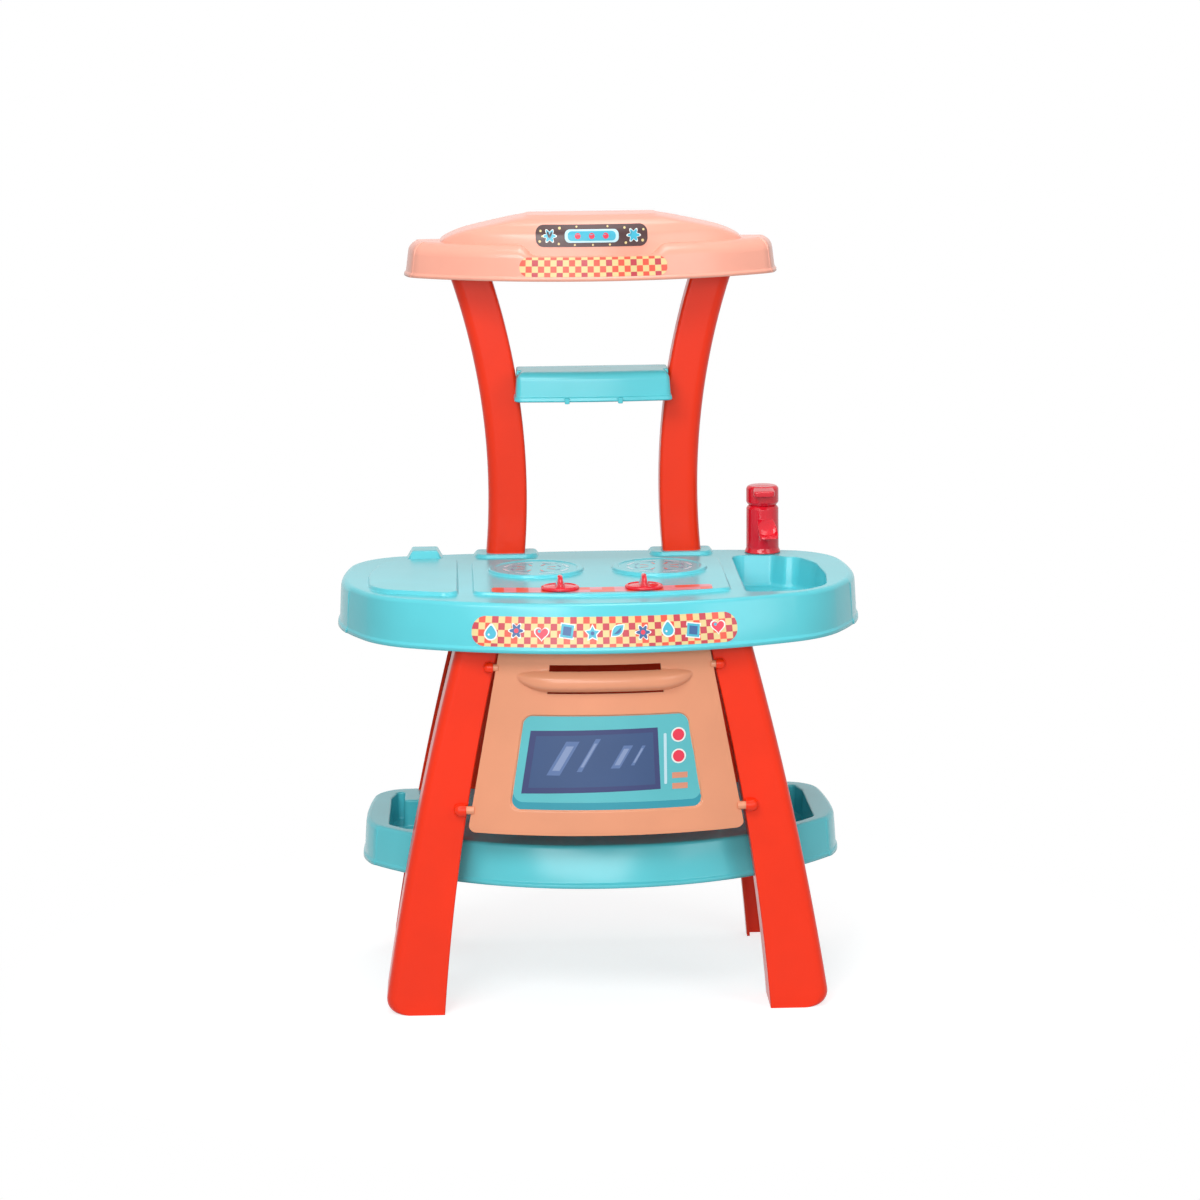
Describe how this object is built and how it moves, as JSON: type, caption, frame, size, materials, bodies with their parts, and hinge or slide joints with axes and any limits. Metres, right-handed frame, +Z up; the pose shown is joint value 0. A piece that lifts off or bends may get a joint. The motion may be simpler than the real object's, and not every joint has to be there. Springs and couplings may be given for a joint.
{
  "type": "toy kitchen",
  "caption": "Moulded plastic toy kitchen with a bowed worktop, sink basin and tap, stove knobs, drop-down oven door, hood and shelf on bowed posts, and a low storage tray.",
  "frame": {"origin": "on the floor, under the centre of the object's bounding box", "axes": "+X to the user's right, where the sink is; +Y to the back; +Z up"},
  "size_m": [0.5232, 0.324, 0.7655],
  "materials": {
    "turquoise_plastic": "injection-moulded, gloss",
    "peach_plastic": "injection-moulded, soft gloss",
    "orange_plastic": "injection-moulded, soft gloss",
    "crimson_plastic": "injection-moulded, high gloss"
  },
  "bodies": {
    "kitchen_frame": {"countertop": "turquoise_plastic", "lower_tray": "turquoise_plastic", "hood": "peach_plastic", "shelf": "turquoise_plastic", "oven_back_panel": "orange_plastic", "leg_front_left": "orange_plastic", "leg_front_right": "orange_plastic", "leg_rear_left": "orange_plastic", "leg_rear_right": "orange_plastic", "post_left": "orange_plastic", "post_right": "orange_plastic"},
    "door": {"oven_door": "peach_plastic"},
    "left_knob": {"knob_left": "crimson_plastic"},
    "right_knob": {"knob_right": "crimson_plastic"},
    "tap": {"tap_body": "crimson_plastic"},
    "lever": {"tap_lever": "crimson_plastic"}
  },
  "joints": [
    {"name": "door_hinge", "type": "hinge", "parent": "kitchen_frame", "child": "door", "pos_m": [0, -0.129, 0.2065], "axis": [1, 0, 0], "range_deg": [0, 90]},
    {"name": "left_knob_turn", "type": "hinge", "parent": "kitchen_frame", "child": "left_knob", "pos_m": [-0.041, -0.0805, 0.415], "axis": [0, 0, 1], "continuous": true},
    {"name": "right_knob_turn", "type": "hinge", "parent": "kitchen_frame", "child": "right_knob", "pos_m": [0.041, -0.0805, 0.415], "axis": [0, 0, 1], "continuous": true},
    {"name": "tap_swivel", "type": "hinge", "parent": "kitchen_frame", "child": "tap", "pos_m": [0.1743, 0.1315, 0.412], "axis": [0, 0, 1], "range_deg": [-90, 90]},
    {"name": "lever_turn", "type": "hinge", "parent": "tap", "child": "lever", "pos_m": [0.1743, 0.1315, 0.461], "axis": [0, 0, 1], "range_deg": [-60, 60]}
  ]
}
